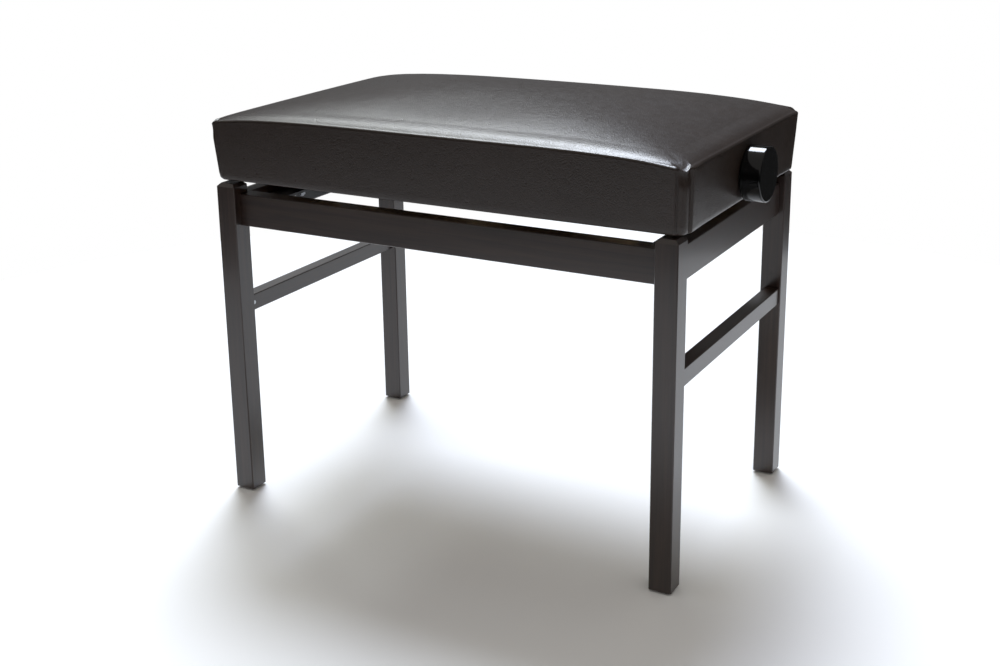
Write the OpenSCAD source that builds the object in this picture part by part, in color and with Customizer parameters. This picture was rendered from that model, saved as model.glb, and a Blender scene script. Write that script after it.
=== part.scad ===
// Height-adjustable bench: a four-leg wooden frame, a scissor lift that runs in steel
// channels, and an upholstered seat box raised by a screw spindle with a knob at one end.
// X runs along the bench, Y across it and Z up. The knob is at the +X end.
// The seat is drawn at its lowest position.

/* [Frame] */
// Length over the legs, along X
bench_l = 566; // [480:1:760]
// Width over the legs, along Y
bench_w = 354; // [300:1:460]
// Side of the square legs
leg_s = 25; // [20:0.5:34]
// Height of the leg tops above the floor
leg_h = 380; // [310:1:520]
// Chamfer round the top of each leg
leg_top_cut = 4; // [0.5:0.5:8]
// Eased edge along each leg
leg_ease = 1; // [0.4:0.1:2]
// Diameter of the glide under each leg
glide_d = 18; // [10:1:19]
// Thickness of the glide
glide_t = 2; // [1:0.5:6]

/* [Aprons] */
// Height of the four aprons
apron_h = 37; // [31:1:60]
// Drop from the leg tops to the aprons' top edge
apron_drop = 13; // [9:0.5:40]
// Thickness of the front and back aprons
long_apron_t = 21; // [16:0.5:26]
// Set-back of the front and back aprons from the legs' outer faces
long_set_back = 10.5; // [2:0.5:12]
// Set-back of the end aprons from the legs' outer faces
end_set_back = 6.5; // [1:0.5:8]
// Eased edge along the aprons and stretchers
rail_ease = 0.8; // [0.3:0.1:1.5]

/* [Stretchers] */
// Height of the side stretchers' lower edge above the floor
stretcher_z = 220.5; // [60:0.5:250]
// Height of the stretcher section
stretcher_h = 19.5; // [12:0.5:40]
// Thickness of the stretcher section
stretcher_t = 17; // [12:0.5:18]
// Set-back of the stretchers from the legs' outer faces
stretcher_set_back = 2.2; // [1:0.1:4]

/* [Frame joints] */
// Diameter of the dowels
dowel_d = 6; // [5:0.5:7]
// Depth of each dowel in the leg
dowel_in_leg = 14; // [10:1:16]
// Depth of each dowel in the rail
dowel_in_rail = 16; // [10:1:24]
// Distance from an apron's edge to its outer dowels
dowel_edge = 6.5; // [5:0.5:8]
// Length of each flange of the corner brackets
corner_flange = 25; // [20:1:30]
// Height of the corner brackets
corner_h = 20; // [14:1:26]
// Thickness of the corner brackets
corner_t = 2; // [1:0.5:3]

/* [Seat box] */
// Gap between the leg tops and the lowered seat
seat_gap = 3.5; // [3:0.5:20]
// Seat bottom beyond the legs' outer faces at each end
seat_over_l = 4; // [-8:0.5:20]
// Seat bottom beyond the legs' outer faces at front and back
seat_over_w = -4.5; // [-8:0.5:20]
// Height of the box rails
box_rail_h = 37.8; // [34:0.1:60]
// Thickness of the box rails
box_rail_t = 18; // [12:0.5:20]
// Radius of the box's upright corners
box_corner_r = 12; // [4:1:12]
// Leg of the corner blocks inside the box
box_block = 30; // [18:1:40]
// Thickness of the seat board
board_t = 12; // [10:0.5:18]

/* [Cushion] */
// Thickness of the cover sheet
cover_t = 1.2; // [0.8:0.1:2.5]
// Width of the cover turned in under the box rails
hem_w = 16; // [13:1:18]
// Outward lean of the end skirts, bottom to crease
flare_l = 3.5; // [1:0.5:8]
// Outward lean of the front and back skirts, bottom to crease
flare_w = 6; // [1:0.5:8]
// Height of the crease at the ends above the seat bottom
end_crease = 66.5; // [62:0.5:90]
// Height of the crease at front and back above the seat bottom
long_crease = 74.5; // [62:0.5:95]
// Height of the crown above the seat bottom
crown_h = 98.5; // [97:0.5:140]
// Radius of the cushion's upright corners
corner_r = 10; // [3:1:25]
// Spacing of the staples in the hem
staple_pitch = 42; // [25:1:80]

/* [Scissor lift] */
// Rise of the seat from lowest to highest
lift = 100; // [40:1:120]
// Drop from the end aprons' top edge to the top of the crossbars
crossbar_drop = 10; // [8:0.5:14]
// Width of the crossbars' level flange
crossbar_flange = 28; // [24:1:34]
// Height of the crossbars' upright flange
crossbar_h = 24; // [20:1:26]
// Thickness of the crossbars
crossbar_t = 3; // [2:0.5:4]
// Distance from the centre line to the back of each channel
channel_y = 78; // [70:1:84]
// Width of the channels
channel_w = 14; // [12:0.5:18]
// Height of the channels
channel_h = 20; // [18:0.5:24]
// Thickness of the channels
channel_t = 2; // [1.5:0.1:2.5]
// Width of the scissor arms
arm_w = 17; // [14:0.5:17]
// Thickness of the scissor arms
arm_t = 4; // [3:0.5:5]
// Diameter of the pivot rods
rod_d = 8; // [6:0.5:9]
// Width of a roller's tread
roller_w = 9; // [5:0.5:9]

/* [Spindle and knob] */
// Diameter of the spindle
spindle_d = 10; // [8:0.5:11]
// Length of the travelling nut
nut_l = 24; // [16:1:30]
// Width of the travelling nut
nut_w = 30; // [24:1:40]
// Height of the travelling nut
nut_h = 17; // [16.5:0.5:17.5]
// Diameter of the thrust collar
collar_d = 18; // [16:0.5:22]
// Length of the thrust collar
collar_l = 12; // [8:0.5:16]
// Diameter of the knob
knob_d = 60; // [35:1:61]
// Length of the knob
knob_l = 22; // [18:0.5:50]
// Bevel round the knob's face
knob_bevel = 1.4; // [0.5:0.1:4]

/* [Fits] */
// Radial clearance of a shaft that turns in its bore
running_fit = 0.05; // [0.02:0.01:0.1]
// Clearance where the lift's parts float: rollers in channels, nut on spindle, open pivots
lift_slack = 0.8; // [0.75:0.05:1.2]
// Clearance round a dowel or a screw in its hole
hole_gap = 0.1; // [0.05:0.05:0.3]
// Clearance between faces that pass each other
side_gap = 0.5; // [0.3:0.1:1]

/* [Hidden] */

// Colours
lacquer = "#2b2422";
leatherette = "#34302d";
black_steel = "#1d1d1f";
zinc = "#b9bcc0";
plywood = "#b99a6b";
beech = "#c9a877";
foam_yellow = "#d9cf9f";
gloss_black = "#101012";
nylon = "#e6e4da";

// Fastener sizes
wood_screw_d = 3.5;
wood_screw_head_d = 7;
wood_screw_head_h = 2.4;
crossbar_screw_l = 14;
corner_screw_l = 13;
board_screw_l = 32;
channel_screw_l = 11;
bolt_d = 5;
bolt_head_d = 9;
bolt_head_h = 3;
nut_across = 8;
bolt_nut_h = 4;
bolt_tail = 2;
clamp_plate_l = 30;
clamp_plate_w = 16;
clamp_plate_t = 2;
rod_head_d = 12;
rod_head_t = 2;
arch_steps = 18;
staple_w = 10;
staple_wire = 1;
staple_leg = 7;
pin_d = 4.5;
pin_proud = 0.6;
pin_depth = 8;
pin_from_leg = 6;
collar_pin_d = 3;
grub_d = 4;
screw_point_d = 0.1;
crossbar_screw_drop = 9;
crossbar_screw_inset = 10;
channel_screw_inset = 12;
corner_screw_reach = 0.6 * corner_flange;
corner_screw_gap = 1; // between an end screw and the dowel's tail
corner_screw_edge = 1; // of bracket beyond a screw's head

// Small walls, gaps and bevels
over = 1; // a cutting shape runs this far past the face it cuts
glide_bevel = 0.5;
corner_bracket_gap = 1.5;
channel_end_gap = 6;
arm_channel_gap = 1.5;
arm_gap = 1.2;
washer_play = 0.3;
pivot_gap = 11;
clamp_shift = 1;
roller_web_gap = 1;
roller_hub_wall = 2;
roller_hub_reach = 0.7;
rivet_head_r = 6.5;
rivet_head_t = 2;
washer_r = 7.5;
nut_bore_wall = 2.8;
cross_rod_gap = 0.4;
knob_skirt_gap = 0.5;
knob_back_bevel = 0.6;
knob_end_wall = 7;
bracket_nut_gap = 10;
spindle_tail = 6;

// Frame faces, all measured from the middle of the legs
leg_x = (bench_l - leg_s) / 2;
leg_y = (bench_w - leg_s) / 2;
inner_leg_x = bench_l / 2 - leg_s;
inner_leg_y = bench_w / 2 - leg_s;
apron_z = leg_h - apron_drop - apron_h;
apron_mid_z = apron_z + apron_h / 2;
long_apron_y = bench_w / 2 - long_set_back - long_apron_t;
end_apron_t = leg_s - end_set_back;
// The end screws stay clear of the dowels' tails, and the bracket reaches past the screws
dowel_tail_reach = long_apron_y - inner_leg_y + dowel_in_rail;
end_screw_reach = max(corner_screw_reach, dowel_tail_reach + wood_screw_d / 2 + corner_screw_gap);
end_flange = max(corner_flange, end_screw_reach + wood_screw_head_d / 2 + corner_screw_edge);
stretcher_x = bench_l / 2 - stretcher_set_back - stretcher_t;
// Dowels sit in the middle of the thickness that rail and leg share
long_dowel_y = (inner_leg_y + bench_w / 2 - long_set_back) / 2;
end_dowel_x = inner_leg_x + end_apron_t / 2;
long_dowel_rise = apron_h / 2 - dowel_edge;
stretcher_dowel_x = stretcher_x + stretcher_t / 2;
stretcher_mid_z = stretcher_z + stretcher_h / 2;

// Seat box
seat_z = leg_h + seat_gap;
seat_l = bench_l + 2 * seat_over_l;
seat_w = bench_w + 2 * seat_over_w;
box_l = seat_l - 2 * cover_t;
box_w = seat_w - 2 * cover_t;
box_z = seat_z + cover_t;
board_z = box_z + box_rail_h;
board_top_z = board_z + board_t;
box_in_x = box_l / 2 - box_rail_t;
box_in_y = box_w / 2 - box_rail_t;
crown_z = seat_z + crown_h;

// Lift: both pivot rods are above each other at the -X end, the rollers run at the +X end
crossbar_top_z = apron_z + apron_h - crossbar_drop;
lower_z = crossbar_top_z + channel_h / 2;
upper_z = board_z - channel_h / 2;
pivot_x = inner_leg_x - crossbar_flange - pivot_gap;
rest_rise = upper_z - lower_z;
rest_reach = 2 * pivot_x;
arm_l = norm([rest_reach, rest_rise]);
rest_angle = atan2(rest_rise, rest_reach);
roller_travel = rest_reach - sqrt(pow(arm_l, 2) - pow(rest_rise + lift, 2));
channel_in_y = channel_y - channel_t;
channel_edge_y = channel_y - channel_w;
outer_arm_y = channel_edge_y - arm_channel_gap - arm_t;
inner_arm_y = outer_arm_y - arm_gap - arm_t;
roller_y = channel_in_y - roller_web_gap - roller_w;
roller_r = channel_h / 2 - channel_t - lift_slack;
roller_hub_r = rod_d / 2 + roller_hub_wall;
roller_hub_y = channel_edge_y - roller_hub_reach;
clamp_x = inner_leg_x - crossbar_flange / 2 - clamp_shift;
clamp_y = (channel_edge_y + channel_in_y) / 2;
clamp_stack = channel_t + crossbar_t + clamp_plate_t;
crossbar_half = long_apron_y - end_flange - corner_bracket_gap;
lower_channel_half = inner_leg_x - channel_end_gap;
upper_channel_half = box_in_x - channel_end_gap;
nut_side_bore_y = spindle_d / 2 + nut_bore_wall;
cross_rod_y = nut_side_bore_y + cross_rod_gap;

// Spindle, bush and knob
bush_wall = 4;
bush_flange_t = 2.5;
bush_flange_w = 8;
bush_flange_r = min(spindle_d / 2 + bush_flange_w, channel_h / 2 - side_gap);
bush_r = spindle_d / 2 + bush_wall;
skirt_x = seat_l / 2 + flare_l * (upper_z - seat_z) / end_crease;
skirt_at_knob_top = seat_l / 2 + flare_l * min(1, (upper_z + knob_d / 2 - seat_z) / end_crease);
knob_x = skirt_at_knob_top + knob_skirt_gap;
collar_x = box_in_x - bush_flange_t - side_gap - collar_l;
bracket_x = pivot_x - roller_travel - nut_l / 2 - bracket_nut_gap;
bracket_plate_t = 3;
bracket_w = 32;
bracket_foot = 18;
bracket_screw_reach = 0.6 * bracket_foot;
spindle_x = bracket_x - spindle_tail;
spindle_end_x = knob_x + knob_l - knob_end_wall;
knob_hub_r = 13;
knob_wall = 3;
knob_cavity = 14;
grub_l = knob_hub_r - spindle_d / 2 - hole_gap;

// The knob sticks out at one end only, so the frame stands this far off the bench's middle
mid_x = -(knob_x + knob_l - seat_l / 2 - flare_l) / 2;

$fn = 64;

// Placing helpers
module bench() translate([mid_x, 0, 0]) children();
module end(side) mirror([side > 0 ? 0 : 1, 0, 0]) children();
module row(side) mirror([0, side > 0 ? 0 : 1, 0]) children();
module corners() for (sx = [-1, 1], sy = [-1, 1]) end(sx) row(sy) children();
module along_x() rotate([0, 90, 0]) children();
module along_y() rotate([-90, 0, 0]) children();

// Solids used by several pieces
module eased_rect(w, h, cut) polygon([
    [cut, 0], [w - cut, 0], [w, cut], [w, h - cut],
    [w - cut, h], [cut, h], [0, h - cut], [0, cut]
]);

module rounded_rect(l, w, r) {
    square([l - 2 * r, w], center = true);
    square([l, w - 2 * r], center = true);
    for (x = [-1, 1], y = [-1, 1]) translate([x * (l / 2 - r), y * (w / 2 - r)]) circle(r);
}

// A rail along X from x0 to x1 with its lower corner at (y, z)
module rail_x(x0, x1, y, z, t, h)
    translate([x0, y, z]) rotate([90, 0, 90]) linear_extrude(x1 - x0) eased_rect(t, h, rail_ease);

module rail_y(y0, y1, x, z, t, h)
    translate([x, y1, z]) rotate([90, 0, 0]) linear_extrude(y1 - y0) eased_rect(t, h, rail_ease);

// A screw whose head stands on z = 0 and whose shank runs down
module pan_screw(d, l, head_d, head_h) {
    translate([0, 0, -l]) cylinder(d = d, h = l);
    cylinder(d = head_d, h = head_h);
}

module wood_screw(l) pan_screw(wood_screw_d, l, wood_screw_head_d, wood_screw_head_h);

module drill(d, l) translate([0, 0, -l]) cylinder(d = d + 2 * hole_gap, h = l + over);

// Dowel places on the +X, +Y corner, each along its own axis with z = 0 at the joint
module long_dowel_places()
    for (rise = [-1, 1] * long_dowel_rise)
        translate([inner_leg_x, long_dowel_y, apron_mid_z + rise]) along_x() children();

module end_dowel_place()
    translate([end_dowel_x, inner_leg_y, apron_mid_z]) along_y() children();

module stretcher_dowel_place()
    translate([stretcher_dowel_x, inner_leg_y, stretcher_mid_z]) along_y() children();

module dowel() translate([0, 0, -dowel_in_rail]) cylinder(d = dowel_d, h = dowel_in_rail + dowel_in_leg);

module dowel_hole()
    translate([0, 0, -dowel_in_rail - hole_gap])
        cylinder(d = dowel_d + 2 * hole_gap, h = dowel_in_rail + dowel_in_leg + 2 * hole_gap);

module pin_places()
    for (sy = [-1, 1])
        row(sy) translate([stretcher_x, inner_leg_y - pin_from_leg, stretcher_mid_z])
            rotate([0, -90, 0]) children();

// Legs
module top_chamfer(h)
    translate([0, leg_s, 0]) rotate([90, 0, 0]) linear_extrude(2 * leg_s) polygon([
        [-leg_s / 2, 0], [leg_s / 2, 0], [leg_s / 2, h - leg_top_cut],
        [leg_s / 2 - leg_top_cut, h], [leg_top_cut - leg_s / 2, h], [-leg_s / 2, h - leg_top_cut]
    ]);

module leg_post() {
    h = leg_h - glide_t;
    translate([leg_x, leg_y, glide_t]) intersection() {
        translate([-leg_s / 2, -leg_s / 2, 0]) linear_extrude(h) eased_rect(leg_s, leg_s, leg_ease);
        top_chamfer(h);
        rotate([0, 0, 90]) top_chamfer(h);
    }
}

module leg(sx, sy) color(lacquer) bench() end(sx) row(sy) difference() {
    leg_post();
    long_dowel_places() dowel_hole();
    end_dowel_place() dowel_hole();
    stretcher_dowel_place() dowel_hole();
}

module leg_front_left() leg(-1, -1);
module leg_front_right() leg(1, -1);
module leg_back_left() leg(-1, 1);
module leg_back_right() leg(1, 1);

module foot_glides() color(gloss_black) bench() corners()
    translate([leg_x, leg_y, 0]) {
        cylinder(d1 = glide_d - 2 * glide_bevel, d2 = glide_d, h = glide_bevel);
        translate([0, 0, glide_bevel]) cylinder(d = glide_d, h = glide_t - glide_bevel);
    }

// Aprons
module corner_screw_places_long()
    translate([inner_leg_x - corner_screw_reach, long_apron_y - corner_t, apron_mid_z])
        rotate([90, 0, 0]) children();

module corner_screw_places_end()
    translate([inner_leg_x - corner_t, long_apron_y - end_screw_reach, apron_mid_z])
        rotate([0, -90, 0]) children();

module long_apron(sy) color(lacquer) bench() row(sy) difference() {
    rail_x(-inner_leg_x, inner_leg_x, long_apron_y, apron_z, long_apron_t, apron_h);
    for (sx = [-1, 1]) end(sx) {
        long_dowel_places() dowel_hole();
        corner_screw_places_long() drill(wood_screw_d, corner_screw_l);
    }
}

module apron_front() long_apron(-1);
module apron_back() long_apron(1);

module crossbar_screw_places()
    for (sy = [-1, 1], y = [clamp_y, crossbar_half - crossbar_screw_inset])
        row(sy) translate([inner_leg_x - crossbar_t, y, crossbar_top_z - crossbar_screw_drop])
            rotate([0, -90, 0]) children();

module end_apron(sx) color(lacquer) bench() end(sx) difference() {
    rail_y(-inner_leg_y, inner_leg_y, inner_leg_x, apron_z, end_apron_t, apron_h);
    for (sy = [-1, 1]) row(sy) {
        end_dowel_place() dowel_hole();
        corner_screw_places_end() drill(wood_screw_d, corner_screw_l);
    }
    crossbar_screw_places() drill(wood_screw_d, crossbar_screw_l);
}

module apron_left() end_apron(-1);
module apron_right() end_apron(1);

// Stretchers
module stretcher(sx) color(lacquer) bench() end(sx) difference() {
    rail_y(-inner_leg_y, inner_leg_y, stretcher_x, stretcher_z, stretcher_t, stretcher_h);
    for (sy = [-1, 1]) row(sy) stretcher_dowel_place() dowel_hole();
    pin_places() drill(pin_d, pin_depth);
}

module stretcher_left() stretcher(-1);
module stretcher_right() stretcher(1);

// Frame fastenings
module apron_dowels() color(beech) bench() corners() {
    long_dowel_places() dowel();
    end_dowel_place() dowel();
}

module stretcher_dowels() color(beech) bench() corners() difference() {
    stretcher_dowel_place() dowel();
    pin_places() drill(pin_d, pin_depth);
}

module stretcher_pins() color(zinc) bench() for (sx = [-1, 1])
    end(sx) pin_places() pan_screw(pin_d, pin_depth, pin_d, pin_proud);

module corner_brackets() color(zinc) bench() corners()
    difference() {
        translate([inner_leg_x - corner_flange, long_apron_y - end_flange, apron_mid_z - corner_h / 2])
            cube([corner_flange, end_flange, corner_h]);
        translate([inner_leg_x - corner_flange - over, long_apron_y - end_flange - over, apron_z])
            cube([corner_flange + over - corner_t, end_flange + over - corner_t, apron_h]);
        corner_screw_places_long() drill(wood_screw_d, corner_screw_l);
        corner_screw_places_end() drill(wood_screw_d, corner_screw_l);
    }

module corner_screws() color(zinc) bench() corners() {
    corner_screw_places_long() wood_screw(corner_screw_l);
    corner_screw_places_end() wood_screw(corner_screw_l);
}

// Crossbars and lower channels
module clamp_places()
    for (sy = [-1, 1]) row(sy) translate([clamp_x, clamp_y, crossbar_top_z + channel_t]) children();

module crossbar(sx) color(black_steel) bench() end(sx) difference() {
    translate([inner_leg_x - crossbar_flange, -crossbar_half, crossbar_top_z - crossbar_h])
        cube([crossbar_flange, 2 * crossbar_half, crossbar_h]);
    translate([inner_leg_x - crossbar_flange, -crossbar_half, crossbar_top_z - crossbar_h] - over * [1, 1, 1])
        cube([
            crossbar_flange + over - crossbar_t,
            2 * (crossbar_half + over),
            crossbar_h + over - crossbar_t
        ]);
    crossbar_screw_places() drill(wood_screw_d, crossbar_screw_l);
    clamp_places() drill(bolt_d, clamp_stack);
}

module crossbar_left() crossbar(-1);
module crossbar_right() crossbar(1);

module crossbar_screws() color(zinc) bench() for (sx = [-1, 1]) end(sx)
    crossbar_screw_places() wood_screw(crossbar_screw_l);

// A channel along X, open towards the centre line, with its middle at height z
module channel_bar(half, z) difference() {
    translate([-half, channel_edge_y, z - channel_h / 2]) cube([2 * half, channel_w, channel_h]);
    translate([-half - over, channel_edge_y - over, z - channel_h / 2 + channel_t])
        cube([2 * (half + over), channel_w + over - channel_t, channel_h - 2 * channel_t]);
}

module rod_hole(z, clearance)
    translate([-pivot_x, 0, z]) along_y() cylinder(d = rod_d + 2 * clearance, h = channel_y + over);

module lower_channel(sy) color(black_steel) bench() row(sy) difference() {
    channel_bar(lower_channel_half, lower_z);
    rod_hole(lower_z, running_fit);
    for (sx = [-1, 1]) end(sx) clamp_places() drill(bolt_d, clamp_stack);
}

module lower_channel_front() lower_channel(-1);
module lower_channel_back() lower_channel(1);

module clamp_plates() color(zinc) bench() for (sx = [-1, 1]) end(sx) difference() {
    clamp_places() translate([-clamp_plate_w / 2, -clamp_plate_l / 2, -clamp_stack])
        cube([clamp_plate_w, clamp_plate_l, clamp_plate_t]);
    clamp_places() drill(bolt_d, clamp_stack + over);
}

module channel_bolts() color(zinc) bench() for (sx = [-1, 1]) end(sx)
    clamp_places() pan_screw(bolt_d, clamp_stack + bolt_nut_h + bolt_tail, bolt_head_d, bolt_head_h);

module channel_nuts() color(zinc) bench() for (sx = [-1, 1]) end(sx)
    clamp_places() translate([0, 0, -clamp_stack - bolt_nut_h]) difference() {
        cylinder(d = nut_across / cos(30), h = bolt_nut_h, $fn = 6);
        translate([0, 0, -over]) cylinder(d = bolt_d + 2 * hole_gap, h = bolt_nut_h + 2 * over);
    }

// A rod across the bench through both channel webs, with a head at each end
module pivot_rod(z) translate([-pivot_x, 0, z]) {
    translate([0, -channel_y, 0]) along_y() cylinder(d = rod_d, h = 2 * channel_y);
    for (sy = [-1, 1]) row(sy) translate([0, channel_y, 0]) along_y()
        cylinder(d = rod_head_d, h = rod_head_t);
}

module lower_pivot_rod() color(zinc) bench() pivot_rod(lower_z);
module upper_pivot_rod() color(zinc) bench() pivot_rod(upper_z);

// Scissor arms: a flat strip along +X from its first hole, stood up in the X-Z plane
module arm_strip(first_hole_d, last_hole_d)
    rotate([90, 0, 0]) translate([0, 0, -arm_t]) linear_extrude(arm_t) difference() {
        union() {
            translate([0, -arm_w / 2]) square([arm_l, arm_w]);
            for (x = [0, arm_l]) translate([x, 0]) circle(d = arm_w);
        }
        circle(d = first_hole_d);
        translate([arm_l / 2, 0]) circle(d = rod_d + 2 * running_fit);
        translate([arm_l, 0]) circle(d = last_hole_d);
    }

// Outer arms rise from the lower pivot rod to the travelling nut
module outer_arm(sy) color(black_steel) bench() row(sy)
    translate([-pivot_x, outer_arm_y, lower_z]) rotate([0, -rest_angle, 0])
        arm_strip(rod_d + 2 * running_fit, rod_d + 2 * hole_gap);

module outer_arm_front() outer_arm(-1);
module outer_arm_back() outer_arm(1);

// Inner arms fall from the upper pivot rod, on which they float, to the lower cross rod
module inner_arm(sy) color(black_steel) bench() row(sy)
    translate([-pivot_x, inner_arm_y, upper_z]) rotate([0, rest_angle, 0])
        arm_strip(rod_d + 2 * lift_slack, rod_d + 2 * hole_gap);

module inner_arm_front() inner_arm(-1);
module inner_arm_back() inner_arm(1);

module upper_cross_rods() color(zinc) bench() for (sy = [-1, 1]) row(sy)
    translate([pivot_x, cross_rod_y, upper_z]) along_y()
        cylinder(d = rod_d, h = channel_in_y - side_gap - cross_rod_y);

module lower_cross_rod() color(zinc) bench()
    translate([pivot_x, side_gap - channel_in_y, lower_z]) along_y()
        cylinder(d = rod_d, h = 2 * (channel_in_y - side_gap));

module scissor_rivets() color(zinc) bench() for (sy = [-1, 1]) row(sy)
    translate([0, 0, (lower_z + upper_z) / 2]) {
        translate([0, inner_arm_y - side_gap, 0]) along_y()
            cylinder(d = rod_d, h = outer_arm_y + arm_t - inner_arm_y + side_gap);
        translate([0, outer_arm_y + arm_t, 0]) along_y() cylinder(r = rivet_head_r, h = rivet_head_t / 2);
        translate([0, inner_arm_y - side_gap - rivet_head_t, 0]) along_y()
            cylinder(r = rivet_head_r, h = rivet_head_t);
    }

module rivet_washers() color(zinc) bench() for (sy = [-1, 1]) row(sy)
    translate([0, outer_arm_y - arm_gap + washer_play, (lower_z + upper_z) / 2]) along_y() difference() {
        cylinder(r = washer_r, h = arm_gap - washer_play);
        translate([0, 0, -over]) cylinder(d = rod_d + 2 * hole_gap, h = arm_gap + 2 * over);
    }

module roller_pair(z) for (sy = [-1, 1]) row(sy)
    translate([pivot_x, roller_hub_y, z]) along_y() difference() {
        union() {
            cylinder(r = roller_hub_r, h = roller_y - roller_hub_y);
            translate([0, 0, roller_y - roller_hub_y]) cylinder(r = roller_r, h = roller_w);
        }
        translate([0, 0, -over]) cylinder(d = rod_d + 2 * running_fit, h = channel_w + 2 * over);
    }

module upper_rollers() color(nylon) bench() roller_pair(upper_z);
module lower_rollers() color(nylon) bench() roller_pair(lower_z);

module spindle_nut() color(zinc) bench() translate([pivot_x, 0, upper_z]) difference() {
    translate([-nut_l / 2, -nut_w / 2, -nut_h / 2]) cube([nut_l, nut_w, nut_h]);
    translate([-nut_l / 2 - over, 0, 0]) along_x()
        cylinder(d = spindle_d + 2 * lift_slack, h = nut_l + 2 * over);
    for (sy = [-1, 1]) row(sy) translate([0, nut_side_bore_y, 0]) along_y()
        cylinder(d = rod_d + 2 * running_fit, h = nut_w);
}

// Seat box
module board_screw_places()
    for (sx = [-1, 1], sy = [-1, 1]) end(sx) row(sy) {
        for (x = [box_in_x / 4, box_in_x - box_block])
            translate([x, box_w / 2 - box_rail_t / 2, board_top_z]) children();
        translate([box_l / 2 - box_rail_t / 2, box_in_y / 2, board_top_z]) children();
    }

module countersunk(d, l, head_d, gap) {
    translate([0, 0, -l]) cylinder(d = d + 2 * gap, h = l);
    translate([0, 0, -head_d / 2]) cylinder(d1 = screw_point_d, d2 = head_d + 2 * gap, h = head_d / 2);
}

module box_slab(z, h) translate([0, 0, z]) linear_extrude(h) rounded_rect(box_l, box_w, box_corner_r);

module long_box_rail(sy) color(beech) bench() row(sy) difference() {
    intersection() {
        translate([-box_l / 2, box_in_y, box_z]) cube([box_l, box_rail_t, box_rail_h]);
        box_slab(box_z, box_rail_h);
    }
    board_screw_places() countersunk(wood_screw_d, board_screw_l, wood_screw_head_d, hole_gap);
}

module box_rail_front() long_box_rail(-1);
module box_rail_back() long_box_rail(1);

module end_box_rail(sx) color(beech) bench() end(sx) difference() {
    translate([box_in_x, -box_in_y, box_z]) cube([box_rail_t, 2 * box_in_y, box_rail_h]);
    board_screw_places() countersunk(wood_screw_d, board_screw_l, wood_screw_head_d, hole_gap);
    if (sx > 0) translate([box_in_x - over, 0, upper_z]) along_x()
        cylinder(r = bush_r, h = box_rail_t + 2 * over);
}

module box_rail_left() end_box_rail(-1);
module box_rail_right() end_box_rail(1);

module box_corner_blocks() color(beech) bench() corners()
    translate([box_in_x, box_in_y, box_z]) linear_extrude(box_rail_h)
        polygon([[0, 0], [-box_block, 0], [0, -box_block]]);

module channel_screw_places()
    for (sx = [-1, 1], x = [pivot_x / 2, upper_channel_half - channel_screw_inset])
        translate([sx * x, clamp_y, board_z - channel_t]) rotate([180, 0, 0]) children();

module bracket_screw_places()
    for (y = [-1, 1] * bracket_w / 4)
        translate([bracket_x - bracket_screw_reach, y, board_z - bracket_plate_t])
            rotate([180, 0, 0]) children();

module seat_board() color(plywood) bench() difference() {
    box_slab(board_z, board_t);
    board_screw_places() countersunk(wood_screw_d, board_screw_l, wood_screw_head_d, hole_gap);
    for (sy = [-1, 1]) row(sy) channel_screw_places() drill(wood_screw_d, channel_screw_l);
    bracket_screw_places() drill(wood_screw_d, channel_screw_l);
}

module board_screws() color(zinc) bench() board_screw_places()
    countersunk(wood_screw_d, board_screw_l, wood_screw_head_d, 0);

// Cushion: two arched profiles crossed, with rounded upright corners
function arch_height(x, wide, rise) =
    let (arch_r = (pow(wide, 2) + pow(rise, 2)) / (2 * rise))
    sqrt(pow(arch_r, 2) - pow(x, 2)) - sqrt(pow(arch_r, 2) - pow(wide, 2));

module arched_profile(half, lean, edge_z, top_z) {
    wide = half + lean;
    arch = [for (i = [0:arch_steps])
        let (x = wide * (1 - 2 * i / arch_steps)) [x, edge_z + arch_height(x, wide, top_z - edge_z)]];
    polygon(concat([[-half, seat_z], [half, seat_z]], arch));
}

module cushion_form(inset) intersection() {
    translate([0, seat_w, 0]) rotate([90, 0, 0]) linear_extrude(2 * seat_w)
        arched_profile(seat_l / 2 - inset, flare_l, seat_z + end_crease - inset, crown_z - inset);
    translate([-seat_l, 0, 0]) rotate([90, 0, 90]) linear_extrude(2 * seat_l)
        arched_profile(seat_w / 2 - inset, flare_w, seat_z + long_crease - inset, crown_z - inset);
    translate([0, 0, seat_z]) linear_extrude(crown_h)
        rounded_rect(seat_l + 2 * flare_l - 2 * inset, seat_w + 2 * flare_w - 2 * inset, corner_r);
}

module foam_solid() intersection() {
    cushion_form(cover_t);
    translate([-seat_l, -seat_w, board_top_z]) cube([2 * seat_l, 2 * seat_w, crown_h]);
}

module foam_pad() color(foam_yellow) bench() foam_solid();

module spindle_way(r) translate([box_in_x, 0, upper_z]) along_x() cylinder(r = r, h = seat_l / 2);

module seat_cover() color(leatherette) bench() difference() {
    cushion_form(0);
    box_slab(box_z, box_rail_h + board_t);
    foam_solid();
    translate([hem_w - box_l / 2, hem_w - box_w / 2, seat_z - over])
        cube([box_l - 2 * hem_w, box_w - 2 * hem_w, cover_t + 2 * over]);
    spindle_way(bush_r + side_gap);
}

module staple() {
    translate([-staple_w / 2, -staple_wire / 2, -staple_wire / 2])
        cube([staple_w, staple_wire, staple_wire / 2]);
    for (sx = [-1, 1]) translate([sx * (staple_w - staple_wire) / 2, 0, staple_leg / 2])
        cube([staple_wire, staple_wire, staple_leg], center = true);
}

module staple_row(count, span) for (i = [0:count - 1])
    translate([span * (i / (count - 1) - 0.5), 0, 0]) staple();

module hem_staples() color(zinc) bench() {
    long_span = 2 * box_in_x - box_block;
    end_span = 2 * box_in_y - box_block;
    for (sy = [-1, 1]) row(sy) translate([0, box_w / 2 - hem_w / 2, seat_z])
        staple_row(1 + round(long_span / staple_pitch), long_span);
    for (sx = [-1, 1]) end(sx) translate([box_l / 2 - hem_w / 2, 0, seat_z]) rotate([0, 0, 90])
        staple_row(1 + round(end_span / staple_pitch), end_span);
}

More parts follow.
